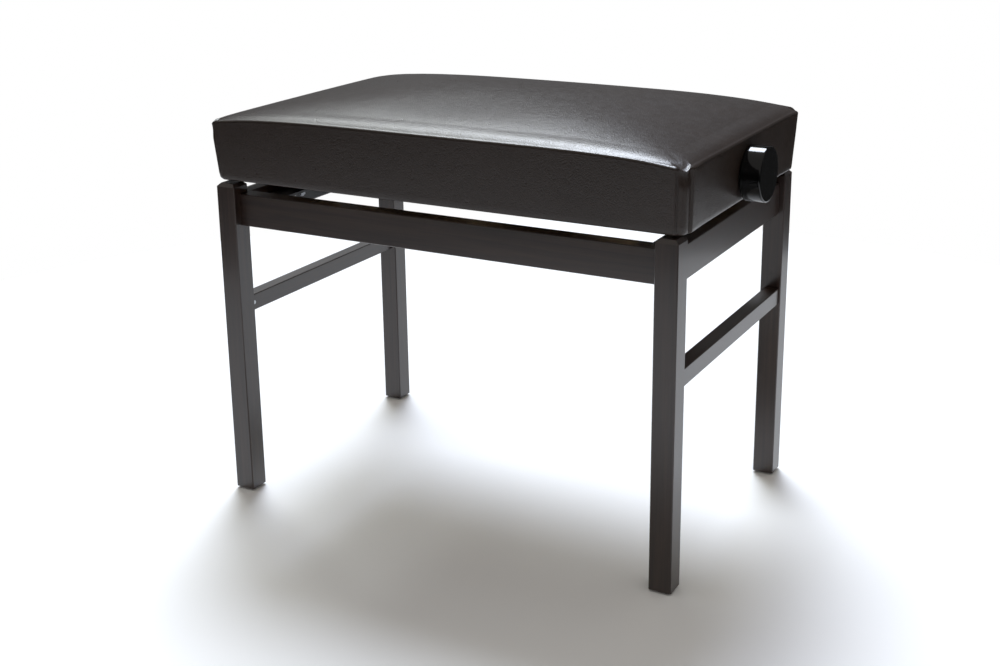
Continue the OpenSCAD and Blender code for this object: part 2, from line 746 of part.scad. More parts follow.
// Upper channels and what carries the spindle
module upper_channel(sy) color(black_steel) bench() row(sy) difference() {
    channel_bar(upper_channel_half, upper_z);
    rod_hole(upper_z, running_fit);
    channel_screw_places() drill(wood_screw_d, channel_screw_l);
}

module upper_channel_front() upper_channel(-1);
module upper_channel_back() upper_channel(1);

module channel_screws() color(zinc) bench()
    for (sy = [-1, 1]) row(sy) channel_screw_places() wood_screw(channel_screw_l);

module spindle_bush() color(nylon) bench() difference() {
    translate([box_in_x, 0, upper_z]) along_x() {
        cylinder(r = bush_r, h = skirt_x - box_in_x);
        translate([0, 0, -bush_flange_t]) cylinder(r = bush_flange_r, h = bush_flange_t);
    }
    translate([box_in_x - bush_flange_t - over, 0, upper_z]) along_x()
        cylinder(d = spindle_d + 2 * running_fit, h = seat_l / 2);
}

module spindle_bracket() color(black_steel) bench() difference() {
    union() {
        translate([bracket_x - bracket_plate_t, -bracket_w / 2, upper_z - channel_h / 2])
            cube([bracket_plate_t, bracket_w, board_z - upper_z + channel_h / 2]);
        translate([bracket_x - bracket_foot, -bracket_w / 2, board_z - bracket_plate_t])
            cube([bracket_foot, bracket_w, bracket_plate_t]);
    }
    translate([bracket_x - bracket_foot, 0, upper_z]) along_x()
        cylinder(d = spindle_d + 2 * running_fit, h = 2 * bracket_foot);
    bracket_screw_places() drill(wood_screw_d, channel_screw_l + over);
}

module bracket_screws() color(zinc) bench() bracket_screw_places() wood_screw(channel_screw_l);

// Spindle and knob turn together
module spindle() color(zinc) bench() difference() {
    translate([spindle_x, 0, upper_z]) along_x() cylinder(d = spindle_d, h = spindle_end_x - spindle_x);
    collar_pin_hole();
}

module collar_pin_hole()
    translate([collar_x + collar_l / 2, 0, upper_z - collar_d / 2 - over])
        cylinder(d = collar_pin_d + 2 * hole_gap, h = collar_d + 2 * over);

module thrust_collar() color(zinc) bench() difference() {
    translate([collar_x, 0, upper_z]) along_x() difference() {
        cylinder(d = collar_d, h = collar_l);
        translate([0, 0, -over]) cylinder(d = spindle_d + 2 * running_fit, h = collar_l + 2 * over);
    }
    collar_pin_hole();
}

module collar_pin() color(zinc) bench()
    translate([collar_x + collar_l / 2, 0, upper_z - collar_d / 2]) cylinder(d = collar_pin_d, h = collar_d);

module knob() color(gloss_black) bench() difference() {
    knob_r = knob_d / 2;
    bore_r = spindle_d / 2 + running_fit;
    bore_l = spindle_end_x - knob_x + hole_gap;
    translate([knob_x, 0, upper_z]) along_x() rotate_extrude($fn = 128) polygon([
        [bore_r, 0], [knob_hub_r, 0], [knob_hub_r, knob_cavity], [knob_r - knob_wall, knob_cavity],
        [knob_r - knob_wall, 0], [knob_r - knob_back_bevel, 0], [knob_r, knob_back_bevel],
        [knob_r, knob_l - knob_bevel], [knob_r - knob_bevel, knob_l], [0, knob_l],
        [0, bore_l], [bore_r, bore_l]
    ]);
    grub_place() drill(grub_d, knob_hub_r);
}

module grub_place() translate([knob_x + knob_cavity / 2, 0, upper_z + knob_hub_r]) children();

module knob_grub_screw() color(zinc) bench() grub_place()
    translate([0, 0, -grub_l]) cylinder(d = grub_d, h = grub_l);

leg_front_left();
leg_front_right();
leg_back_left();
leg_back_right();
foot_glides();
apron_front();
apron_back();
apron_left();
apron_right();
stretcher_left();
stretcher_right();
apron_dowels();
stretcher_dowels();
stretcher_pins();
corner_brackets();
corner_screws();
crossbar_left();
crossbar_right();
crossbar_screws();
lower_channel_front();
lower_channel_back();
clamp_plates();
channel_bolts();
channel_nuts();
lower_pivot_rod();
outer_arm_front();
outer_arm_back();
upper_cross_rods();
scissor_rivets();
rivet_washers();
upper_rollers();
spindle_nut();
inner_arm_front();
inner_arm_back();
lower_cross_rod();
lower_rollers();
box_rail_front();
box_rail_back();
box_rail_left();
box_rail_right();
box_corner_blocks();
seat_board();
board_screws();
foam_pad();
seat_cover();
hem_staples();
upper_channel_front();
upper_channel_back();
channel_screws();
upper_pivot_rod();
spindle_bush();
spindle_bracket();
bracket_screws();
spindle();
thrust_collar();
collar_pin();
knob();
knob_grub_screw();
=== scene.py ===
import math

import bmesh
import bpy
from mathutils import Matrix, Vector
from mathutils.bvhtree import BVHTree


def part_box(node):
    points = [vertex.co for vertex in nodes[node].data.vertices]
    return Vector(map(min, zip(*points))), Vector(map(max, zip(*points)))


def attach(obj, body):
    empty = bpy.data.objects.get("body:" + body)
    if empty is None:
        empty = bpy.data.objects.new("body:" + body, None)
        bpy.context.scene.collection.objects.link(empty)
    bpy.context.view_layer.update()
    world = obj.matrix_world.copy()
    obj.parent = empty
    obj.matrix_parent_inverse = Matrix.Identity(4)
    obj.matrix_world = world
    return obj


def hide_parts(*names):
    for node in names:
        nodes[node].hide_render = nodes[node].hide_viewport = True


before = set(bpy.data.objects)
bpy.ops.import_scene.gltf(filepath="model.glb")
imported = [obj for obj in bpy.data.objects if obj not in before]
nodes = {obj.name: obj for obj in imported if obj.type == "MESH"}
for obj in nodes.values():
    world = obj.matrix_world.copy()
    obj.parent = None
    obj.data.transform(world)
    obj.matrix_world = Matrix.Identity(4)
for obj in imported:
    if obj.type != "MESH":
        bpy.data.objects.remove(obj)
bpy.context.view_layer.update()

mm = 0.001

coverLow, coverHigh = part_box("seat_cover")
midX = (coverLow.x + coverHigh.x) / 2  # the middle of the legs and of the seat
print("frame loaded, bench middle at", round(midX * 1000, 2), "mm")


# small helpers

def clearSelection():
    if bpy.context.object and bpy.context.object.mode != "OBJECT":
        bpy.ops.object.mode_set(mode="OBJECT")
    bpy.ops.object.select_all(action="DESELECT")


def pick(piece):
    clearSelection()
    piece.select_set(True)
    bpy.context.view_layer.objects.active = piece


def applyModifier(piece, kind, **settings):
    pick(piece)
    modifier = piece.modifiers.new(kind.title(), kind)
    for key, value in settings.items():
        setattr(modifier, key, value)
    bpy.ops.object.modifier_apply(modifier=modifier.name)


def applyPlace(piece):
    pick(piece)
    bpy.ops.object.transform_apply(location=True, rotation=True, scale=True)


def meshPiece(name, bm):
    mesh = bpy.data.meshes.new(name)
    bm.to_mesh(mesh)
    bm.free()
    piece = bpy.data.objects.new(name, mesh)
    bpy.context.scene.collection.objects.link(piece)
    return piece


def smoothByAngle(piece, degrees):
    pick(piece)
    bpy.ops.object.shade_smooth_by_angle(angle=math.radians(degrees))


def easeBetween(value, low, high):
    t = min(1, max(0, (value - low) / (high - low)))
    return t * t * (3 - 2 * t)


# camera

view = {
    "fromMiddle": (0.7646, -1.4005, 0.7466),  # m, from the bench's middle on the floor
    "yaw": 28.973, "pitch": 16.066, "roll": -0.731,  # degrees
    "lens": 50.893, "shiftY": -0.08,
}


def makeCamera():
    yaw, pitch, roll = (math.radians(view[k]) for k in ("yaw", "pitch", "roll"))
    ahead = Vector((-math.sin(yaw) * math.cos(pitch), math.cos(yaw) * math.cos(pitch), -math.sin(pitch)))
    level = Vector((math.cos(yaw), math.sin(yaw), 0))
    upright = level.cross(ahead)
    right = level * math.cos(roll) + upright * math.sin(roll)
    up = upright * math.cos(roll) - level * math.sin(roll)
    data = bpy.data.cameras.new("benchCamera")
    data.lens, data.sensor_width, data.shift_y = view["lens"], 36, view["shiftY"]
    camera = bpy.data.objects.new("benchCamera", data)
    turn = Matrix((right, up, -ahead)).transposed()
    place = Vector(view["fromMiddle"]) + Vector((midX, 0, 0))
    camera.matrix_world = Matrix.Translation(place) @ turn.to_4x4()
    bpy.context.scene.collection.objects.link(camera)
    bpy.context.scene.camera = camera


makeCamera()
print("camera placed")


# materials

def linearColour(hexCode):
    parts = [int(hexCode[i:i + 2], 16) / 255 for i in (1, 3, 5)]
    return [c / 12.92 if c <= 0.04045 else ((c + 0.055) / 1.055) ** 2.4 for c in parts] + [1]


def addNode(tree, kind, settings=None, links=None):
    node = tree.nodes.new(kind)
    for key, value in (settings or {}).items():
        setattr(node, key, value)
    for key, value in (links or {}).items():
        if isinstance(value, bpy.types.NodeSocket):
            tree.links.new(value, node.inputs[key])
        else:
            node.inputs[key].default_value = value
    return node


def startMaterial(name, **values):
    material = bpy.data.materials.new(name)
    material.use_nodes = True
    tree = material.node_tree
    shader = next(n for n in tree.nodes if n.type == "BSDF_PRINCIPLED")
    for key, value in values.items():
        shader.inputs[key.replace("_", " ")].default_value = value
    place = addNode(tree, "ShaderNodeTexCoord").outputs["Object"]
    return material, tree, shader, place


def perMetre(sizeMm):  # pattern scale for a feature of this size
    return 1000 / sizeMm


def makeLeatherette():
    # PVC-coated cloth, embossed with a fine pebble grain: a broad soft sheen that the pebbles break up.
    # The real grain is about 0.8 mm; it is drawn at 1.3 mm so that it shows.
    material, tree, shader, place = startMaterial(
        "embossed PVC leatherette", IOR=1.5, Specular_IOR_Level=0.36)
    drift = addNode(tree, "ShaderNodeTexNoise", {}, {"Vector": place, "Scale": perMetre(2.4), "Detail": 2.0})
    shifted = addNode(tree, "ShaderNodeMix", {"data_type": "VECTOR"}, {
        0: 0.0009, 4: place, 5: drift.outputs["Color"]})
    pebble = addNode(tree, "ShaderNodeTexVoronoi", {"feature": "SMOOTH_F1"}, {
        "Vector": shifted.outputs[1], "Scale": perMetre(1.3), "Smoothness": 0.35})
    stretch = addNode(tree, "ShaderNodeTexNoise", {}, {"Vector": place, "Scale": perMetre(9), "Detail": 4.0})
    patch = addNode(tree, "ShaderNodeTexNoise", {}, {"Vector": place, "Scale": perMetre(70), "Detail": 3.0})
    tone = addNode(tree, "ShaderNodeMix", {"data_type": "RGBA"}, {
        0: patch.outputs["Fac"], 6: linearColour("#2a211c"), 7: linearColour("#352a24")})
    # painted shade: the grooves between the pebbles are darkened towards #100d0c in the base colour
    pebbleGrooveShade = addNode(tree, "ShaderNodeMapRange", {}, {
        "Value": pebble.outputs["Distance"], "From Min": 0.25, "From Max": 0.75,
        "To Min": 0.0, "To Max": 0.35})
    colour = addNode(tree, "ShaderNodeMix", {"data_type": "RGBA"}, {
        0: pebbleGrooveShade.outputs["Result"], 6: tone.outputs[2], 7: linearColour("#100d0c")})
    rough = addNode(tree, "ShaderNodeMapRange", {}, {
        "Value": stretch.outputs["Fac"], "To Min": 0.24, "To Max": 0.36})
    grain = addNode(tree, "ShaderNodeBump", {"invert": True}, {
        "Height": pebble.outputs["Distance"], "Strength": 0.6, "Distance": 0.00022})
    slack = addNode(tree, "ShaderNodeBump", {}, {
        "Height": stretch.outputs["Fac"], "Strength": 0.25, "Distance": 0.0006,
        "Normal": grain.outputs["Normal"]})
    tree.links.new(colour.outputs[2], shader.inputs["Base Color"])
    tree.links.new(rough.outputs["Result"], shader.inputs["Roughness"])
    tree.links.new(slack.outputs["Normal"], shader.inputs["Normal"])
    return material


def makeLacqueredWood(name, along):
    # Beech stained black-brown under satin lacquer: grain only just shows, edges and low angles shine.
    material, tree, shader, place = startMaterial(name, IOR=1.5, Coat_Weight=0.4, Coat_Roughness=0.14)
    scale = [perMetre(5)] * 3
    scale[along] = perMetre(160)
    streaks = addNode(tree, "ShaderNodeMapping", {}, {"Vector": place, "Scale": scale})
    grain = addNode(tree, "ShaderNodeTexNoise", {}, {
        "Vector": streaks.outputs["Vector"], "Scale": 1.0, "Detail": 6.0, "Roughness": 0.65,
        "Distortion": 0.4})
    scale = [perMetre(0.7)] * 3
    scale[along] = perMetre(9)
    pores = addNode(tree, "ShaderNodeTexNoise", {}, {
        "Vector": addNode(tree, "ShaderNodeMapping", {}, {"Vector": place, "Scale": scale}).outputs["Vector"],
        "Scale": 1.0, "Detail": 2.0})
    level = addNode(tree, "ShaderNodeMapRange", {}, {
        "Value": grain.outputs["Fac"], "From Min": 0.3, "From Max": 0.7})
    colour = addNode(tree, "ShaderNodeMix", {"data_type": "RGBA"}, {
        0: level.outputs["Result"], 6: linearColour("#1b110d"), 7: linearColour("#33241d")})
    rough = addNode(tree, "ShaderNodeMapRange", {}, {
        "Value": grain.outputs["Fac"], "To Min": 0.3, "To Max": 0.42})
    bump = addNode(tree, "ShaderNodeBump", {}, {
        "Height": pores.outputs["Fac"], "Strength": 0.18, "Distance": 0.00012})
    tree.links.new(colour.outputs[2], shader.inputs["Base Color"])
    tree.links.new(rough.outputs["Result"], shader.inputs["Roughness"])
    tree.links.new(bump.outputs["Normal"], shader.inputs["Normal"])
    return material


def makeDryWood(name, along, dark, light, fleckTone, ringMm):
    # Planed timber without lacquer: dry and matt, long grain lines with short flecks.
    material, tree, shader, place = startMaterial(name, IOR=1.45)
    scale = [perMetre(ringMm)] * 3
    scale[along] = perMetre(ringMm * 25)
    lines = addNode(tree, "ShaderNodeTexNoise", {}, {
        "Vector": addNode(tree, "ShaderNodeMapping", {}, {"Vector": place, "Scale": scale}).outputs["Vector"],
        "Scale": 1.0, "Detail": 5.0, "Roughness": 0.6, "Distortion": 0.6})
    scale = [perMetre(0.8)] * 3
    scale[along] = perMetre(5)
    flecks = addNode(tree, "ShaderNodeTexVoronoi", {}, {
        "Vector": addNode(tree, "ShaderNodeMapping", {}, {"Vector": place, "Scale": scale}).outputs["Vector"],
        "Scale": 1.0})
    level = addNode(tree, "ShaderNodeMapRange", {}, {
        "Value": lines.outputs["Fac"], "From Min": 0.35, "From Max": 0.65})
    board = addNode(tree, "ShaderNodeMix", {"data_type": "RGBA"}, {
        0: level.outputs["Result"], 6: linearColour(dark), 7: linearColour(light)})
    fleck = addNode(tree, "ShaderNodeMapRange", {}, {
        "Value": flecks.outputs["Distance"], "From Min": 0.0, "From Max": 0.25, "To Min": 0.3, "To Max": 0.0})
    colour = addNode(tree, "ShaderNodeMix", {"data_type": "RGBA"}, {
        0: fleck.outputs["Result"], 6: board.outputs[2], 7: linearColour(fleckTone)})
    rough = addNode(tree, "ShaderNodeMapRange", {}, {
        "Value": lines.outputs["Fac"], "To Min": 0.6, "To Max": 0.8})
    bump = addNode(tree, "ShaderNodeBump", {}, {
        "Height": lines.outputs["Fac"], "Strength": 0.2, "Distance": 0.0003})
    tree.links.new(colour.outputs[2], shader.inputs["Base Color"])
    tree.links.new(rough.outputs["Result"], shader.inputs["Roughness"])
    tree.links.new(bump.outputs["Normal"], shader.inputs["Normal"])
    return material


def makeGrained(name, dark, light, patchMm, grainMm, depthMm, roughLow, roughHigh, **values):
    # For coats, plating and mouldings: two close tones in soft patches and a fine skin.
    material, tree, shader, place = startMaterial(name, **values)
    patch = addNode(tree, "ShaderNodeTexNoise", {}, {
        "Vector": place, "Scale": perMetre(patchMm), "Detail": 4.0, "Roughness": 0.6})
    skin = addNode(tree, "ShaderNodeTexNoise", {}, {
        "Vector": place, "Scale": perMetre(grainMm), "Detail": 2.0})
    level = addNode(tree, "ShaderNodeMapRange", {}, {
        "Value": patch.outputs["Fac"], "From Min": 0.3, "From Max": 0.7})
    colour = addNode(tree, "ShaderNodeMix", {"data_type": "RGBA"}, {
        0: level.outputs["Result"], 6: linearColour(dark), 7: linearColour(light)})
    rough = addNode(tree, "ShaderNodeMapRange", {}, {
        "Value": patch.outputs["Fac"], "From Min": 0.25, "From Max": 0.75,
        "To Min": roughLow, "To Max": roughHigh})
    bump = addNode(tree, "ShaderNodeBump", {}, {
        "Height": skin.outputs["Fac"], "Strength": 0.3, "Distance": depthMm * mm})
    tree.links.new(colour.outputs[2], shader.inputs["Base Color"])
    tree.links.new(rough.outputs["Result"], shader.inputs["Roughness"])
    tree.links.new(bump.outputs["Normal"], shader.inputs["Normal"])
    return material


leatherette = makeLeatherette()
lacquerUp = makeLacqueredWood("satin lacquered beech, upright grain", 2)
lacquerLong = makeLacqueredWood("satin lacquered beech, long grain", 0)
lacquerAcross = makeLacqueredWood("satin lacquered beech, cross grain", 1)
beechLong = makeDryWood("planed beech, long grain", 0, "#b98d5c", "#d3ae7c", "#7c5733", 4)
beechAcross = makeDryWood("planed beech, cross grain", 1, "#b98d5c", "#d3ae7c", "#7c5733", 4)
birchPly = makeDryWood("sanded birch plywood", 0, "#c19a68", "#dcbf92", "#7c5733", 9)
# beech of the seat box coloured dark brown and matt as painted shade, so that no pale wood shows in the gap
shadeDarkBeechLong = makeDryWood("beech darkened as painted shade, long grain", 0, "#211814", "#32251e", "#15100d", 4)
shadeDarkBeechAcross = makeDryWood("beech darkened as painted shade, cross grain", 1, "#211814", "#32251e", "#15100d", 4)
# powder coat: fine orange peel, low gloss
blackSteel = makeGrained("powder-coated steel", "#101012", "#19191b", 25, 0.9, 0.12, 0.38, 0.5, IOR=1.5)
# bright zinc plate: cool grey metal in faint cloudy patches
zincSteel = makeGrained("zinc-plated steel", "#a3a7ad", "#c3c6ca", 6, 0.5, 0.02, 0.24, 0.4, Metallic=1.0)
# turned nylon: milky white with a dull shine
nylon = makeGrained("turned nylon", "#dad7ca", "#e9e7de", 12, 0.6, 0.03, 0.36, 0.48, IOR=1.53)
# moulded polyethylene glide: black, waxy
glidePlastic = makeGrained("moulded polyethylene", "#0f0f10", "#171718", 8, 0.7, 0.03, 0.45, 0.55, IOR=1.51)
# polished phenolic knob: near-mirror black
glossKnob = makeGrained(
    "polished phenolic moulding", "#050506", "#090909", 15, 3.0, 0.006, 0.07, 0.11,
    IOR=1.5, Specular_IOR_Level=0.3)
# cut polyurethane foam: pale, matt, open cells
foam = makeGrained("cut polyurethane foam", "#cfc48c", "#e0d7a8", 20, 1.2, 0.5, 0.85, 0.95, IOR=1.4)
print("materials made")


# CAD nodes that keep their shape

finishes = {
    lacquerUp: ["leg_front_left", "leg_front_right", "leg_back_left", "leg_back_right"],
    lacquerLong: ["apron_front", "apron_back"],
    lacquerAcross: ["apron_left", "apron_right", "stretcher_left", "stretcher_right"],
    beechLong: ["apron_dowels"],
    beechAcross: ["stretcher_dowels"],
    # seat box rails in the darkened beech: painted shade in the gap under the cover
    shadeDarkBeechLong: ["box_rail_front", "box_rail_back"],
    shadeDarkBeechAcross: ["box_rail_left", "box_rail_right", "box_corner_blocks"],
    birchPly: ["seat_board"],
    blackSteel: [
        "crossbar_left", "crossbar_right", "lower_channel_front", "lower_channel_back",
        "upper_channel_front", "upper_channel_back", "outer_arm_front", "outer_arm_back",
        "inner_arm_front", "inner_arm_back", "spindle_bracket"],
    zincSteel: [
        "stretcher_pins", "corner_brackets", "corner_screws", "crossbar_screws", "clamp_plates",
        "channel_bolts", "channel_nuts", "lower_pivot_rod", "upper_pivot_rod", "upper_cross_rods",
        "lower_cross_rod", "scissor_rivets", "rivet_washers", "spindle_nut", "board_screws",
        "hem_staples", "channel_screws", "bracket_screws", "thrust_collar",
        "collar_pin", "knob_grub_screw"],
    nylon: ["upper_rollers", "lower_rollers", "spindle_bush"],
    glidePlastic: ["foot_glides"],
}
for finish, names in finishes.items():
    for name in names:
        for materialSlot in nodes[name].material_slots:
            materialSlot.material = finish
print("CAD nodes finished:", sum(len(names) for names in finishes.values()))


# cushion

cushion = {  # mm, unless it says otherwise
    "cornerRadius": 10, "leanEnds": 3.5, "leanSides": 6,
    "endCrease": 66.5, "longCrease": 74.5, "hipBlend": 12,
    "shoulder": 9, "shoulderReach": 20, "creaseRadius": 3.2, "hemRadius": 2.4, "hemWidth": 16, "leather": 1.2,
    "frontFold": 7.8, "endFold": 12.8,  # folds, along the outline from the corner's middle
    "cornerDip": 3.5, "skirtRows": 22,
    "simVoxel": 6, "simFrames": 20, "simPressure": 4, "simCap": 5, "simStart": 2.5,
    "fill": 0.85,
}
endHalf = (coverHigh.x - coverLow.x) / 2 * 1000  # half length and width at the crease, mm
sideHalf = (coverHigh.y - coverLow.y) / 2 * 1000
baseZ = coverLow.z * 1000
crownZ = coverHigh.z * 1000
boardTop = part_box("seat_board")[1].z * 1000


def archRise(distance, wide, rise):  # height of a shallow arch above its springing
    radius = (wide ** 2 + rise ** 2) / (2 * rise)
    inside = max(0, radius ** 2 - distance ** 2)
    return math.sqrt(inside) - math.sqrt(radius ** 2 - wide ** 2)


def shoulderRise(x, y):  # the foam's rounded shoulder just inside the crease
    fromEnd, fromSide = max(0, endHalf - abs(x)), max(0, sideHalf - abs(y))
    inset = fromEnd * fromSide / max(0.001, fromEnd + fromSide)
    return cushion["shoulder"] * (1 - math.exp(-inset / cushion["shoulderReach"]))


def crownHeight(x, y):  # the top of the cushion, mm above the seat's bottom, x and y from its middle
    crown = crownZ - baseZ - cushion["shoulder"]
    lengthwise = cushion["endCrease"] + archRise(x, endHalf, crown - cushion["endCrease"])
    crosswise = cushion["longCrease"] + archRise(y, sideHalf, crown - cushion["longCrease"])
    blend = cushion["hipBlend"]
    near = max(blend - abs(lengthwise - crosswise), 0) / blend
    middle = easeBetween(min(endHalf - abs(x), sideHalf - abs(y)), 20, 110)
    return min(lengthwise, crosswise) - near * near * blend / 4 * (1 - middle) + shoulderRise(x, y)


def sideStops(halfSide, fold):  # distances from the corner's middle, close together at the fold
    stops, at = [0.0], 0.0
    while at < halfSide:
        gap = abs(at + 0.3 - fold)
        at += 0.5 if gap < 2.2 else min(9.5, 1.2 + max(0, at - fold - 2.2) * 0.2)
        stops.append(at)
    return [s * halfSide / stops[-1] for s in stops]


def stations(long, short):  # side, share of its straight part or None, angle, way to the corner, fold
    radius = cushion["cornerRadius"]
    out = []
    for side in range(4):
        half = (long, short)[side % 2]
        fold = cushion[("frontFold", "endFold")[side % 2]]
        straight = half - radius
        reach = straight + radius * math.pi / 4
        stops = sideStops(reach, fold)
        row = [(-1, s) for s in stops] + [(1, s) for s in stops[-2::-1]]
        for sign, s in row[:-1]:
            along = reach - s
            if along <= straight:
                out.append((side, sign * along / straight, 0.0, s, fold))
            else:
                out.append((side, None, sign * (along - straight) / radius, s, fold))
    return out


def outlinePoint(station, long, short, radius):
    side, share, angle, _, _ = station
    a, b = ((long, short), (short, long))[side % 2]
    if share is None:
        along = math.copysign(a - radius, angle) + radius * math.sin(angle)
        out = b - radius + radius * math.cos(angle)
    else:
        along, out = share * (a - radius), b
    turn = ((along, -out), (out, along), (-along, out), (-out, -along))[side]
    normal = (math.sin(angle), -math.cos(angle))
    for _ in range(side):
        normal = (-normal[1], normal[0])
    return turn, normal


def foldOffset(station, drop):  # the skirt's way out (+) or in (-) by a fold, drop mm under the crease
    _, _, _, s, fold = station
    d = s - fold
    offset = -1.5 * math.exp(-(d / 0.9) ** 2)
    if d > 0:  # the panel beside the fold stands proud and sinks back further along
        offset += 1.3 * easeBetween(d, 0, 1.6) * (1 - easeBetween(d, 3, 45))
    else:
        offset -= 1.1 * easeBetween(-d, 0, 1.2)
        offset -= 1.4 * (1 - easeBetween(drop, 2, 16)) * easeBetween(-d, 0, 2)
    return offset


def cornerDip(station, inset):
    _, _, _, s, fold = station
    return cushion["cornerDip"] * (1 - easeBetween(s, 0.5, fold + 3)) * (1 - easeBetween(inset, 0, 9))


def coverRows(outline):  # the rows of the cover, from the hem's inner edge up over the crease to the top
    c = cushion
    radius = c["cornerRadius"]
    bottomLong, bottomShort = endHalf - c["leanEnds"], sideHalf - c["leanSides"]
    rows = []

    def addRow(makePoint):
        rows.append([makePoint(station) for station in outline])

    def hemPull(station):  # the hem is drawn in and up at the corners
        return 1.8 * (1 - easeBetween(station[3], 3, station[4] + 3))

    for inset in (c["hemWidth"], c["hemWidth"] * 0.6, c["hemRadius"] + 2):
        def underside(station, inset=inset):
            (x, y), _ = outlinePoint(station, bottomLong - inset, bottomShort - inset, max(3, radius - inset))
            return Vector((x, y, 0))
        addRow(underside)
    for step in range(5):
        turn = math.radians(90 * step / 4)

        def hemEdge(station, turn=turn):
            bend = c["hemRadius"] + hemPull(station)
            inset = bend * (1 - math.sin(turn))
            (x, y), normal = outlinePoint(station, bottomLong, bottomShort, radius)
            z = bend * (1 - math.cos(turn))
            push = foldOffset(station, c["endCrease"] - z) * math.sin(turn) - inset
            return Vector((x + normal[0] * push, y + normal[1] * push, z))
        addRow(hemEdge)

    def creaseTop(station):
        (x, y), _ = outlinePoint(station, endHalf - c["creaseRadius"], sideHalf - c["creaseRadius"], radius)
        return crownHeight(x, y) - cornerDip(station, 0)

    for step in range(1, c["skirtRows"] + 1):
        def skirt(station, step=step):
            low = c["hemRadius"] + hemPull(station)
            high = creaseTop(station) - c["creaseRadius"]
            z = low + (high - low) * step / c["skirtRows"]
            share = z / (high + c["creaseRadius"])
            long = bottomLong + c["leanEnds"] * share
            short = bottomShort + c["leanSides"] * share
            (x, y), normal = outlinePoint(station, long, short, radius)
            push = foldOffset(station, high - z)
            return Vector((x + normal[0] * push, y + normal[1] * push, z))
        addRow(skirt)
    for step in range(1, 6):
        turn = math.radians(90 * step / 5)

        def crease(station, turn=turn):
            inset = c["creaseRadius"] * (1 - math.cos(turn))
            (x, y), normal = outlinePoint(station, endHalf, sideHalf, radius)
            z = creaseTop(station) - c["creaseRadius"] * (1 - math.sin(turn))
            push = foldOffset(station, 0) * (1 - easeBetween(turn, 0.3, 1.4)) - inset
            return Vector((x + normal[0] * push, y + normal[1] * push, z))
        addRow(crease)
    for inset in (4.6, 6.5, 9, 12.5, 17, 23):
        def ring(station, inset=inset):
            (x, y), _ = outlinePoint(station, endHalf - inset, sideHalf - inset, radius)
            return Vector((x, y, crownHeight(x, y) - cornerDip(station, inset - c["creaseRadius"])))
        addRow(ring)
    return rows


def topPatch(ring, acrossCount, deepCount):  # fills the last ring with a grid between its four sides
    front = ring[:acrossCount + 1]
    right = ring[acrossCount:acrossCount + deepCount + 1]
    back = ring[acrossCount + deepCount:2 * acrossCount + deepCount + 1][::-1]
    left = (ring[2 * acrossCount + deepCount:] + ring[:1])[::-1]
    grid = []
    for j in range(deepCount + 1):
        row = []
        v = (right[j].y - right[0].y) / (right[-1].y - right[0].y)
        for i in range(acrossCount + 1):
            u = (front[i].x - front[0].x) / (front[-1].x - front[0].x)
            p = (front[i] * (1 - v) + back[i] * v + left[j] * (1 - u) + right[j] * u
                 - front[0] * (1 - u) * (1 - v) - front[-1] * u * (1 - v)
                 - back[0] * (1 - u) * v - back[-1] * u * v)
            if 0 < i < acrossCount and 0 < j < deepCount:
                p.z = crownHeight(p.x, p.y)
            row.append(p)
        grid.append(row)
    return grid


def buildShell(name, rows, deepCount, acrossCount, closeBottom=False):
    bm = bmesh.new()
    origin = Vector((midX, 0, baseZ * mm))
    rings = [[bm.verts.new(origin + p * mm) for p in row] for row in rows]
    count = len(rings[0])
    for low, high in zip(rings, rings[1:]):
        for i in range(count):
            k = (i + 1) % count
            bm.faces.new((low[i], low[k], high[k], high[i]))
    ring = rings[-1]
    grid = topPatch(rows[-1], acrossCount, deepCount)
    placed = {}
    for j in range(deepCount + 1):
        for i in range(acrossCount + 1):
            if j == 0:
                placed[i, j] = ring[i]
            elif i == acrossCount:
                placed[i, j] = ring[acrossCount + j]
            elif j == deepCount:
                placed[i, j] = ring[acrossCount + deepCount + acrossCount - i]
            elif i == 0:
                placed[i, j] = ring[(2 * acrossCount + 2 * deepCount - j) % count]
            else:
                placed[i, j] = bm.verts.new(origin + grid[j][i] * mm)
    for j in range(deepCount):
        for i in range(acrossCount):
            bm.faces.new((placed[i, j], placed[i + 1, j], placed[i + 1, j + 1], placed[i, j + 1]))
    if closeBottom:
        bm.faces.new(rings[0][::-1])
    return meshPiece(name, bm)


